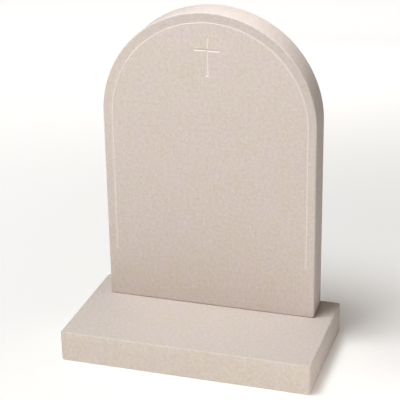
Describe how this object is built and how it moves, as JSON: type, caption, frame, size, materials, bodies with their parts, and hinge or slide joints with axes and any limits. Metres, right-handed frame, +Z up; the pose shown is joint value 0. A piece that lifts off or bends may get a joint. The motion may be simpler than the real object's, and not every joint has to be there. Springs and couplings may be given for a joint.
{
  "type": "headstone",
  "caption": "Round-headed upright sandstone tablet standing near the back of a low base, with a V-cut margin line round its face and a small V-cut cross under the arch.",
  "frame": {"origin": "middle of the base's underside, at the level of the ground", "axes": "+Z up, +X along the width, -Y the way the carved face looks"},
  "size_m": [0.61, 0.325, 0.8163],
  "materials": {
    "sandstone": "matte"
  },
  "bodies": {
    "root": {"base": "sandstone", "tablet": "sandstone"}
  },
  "joints": []
}
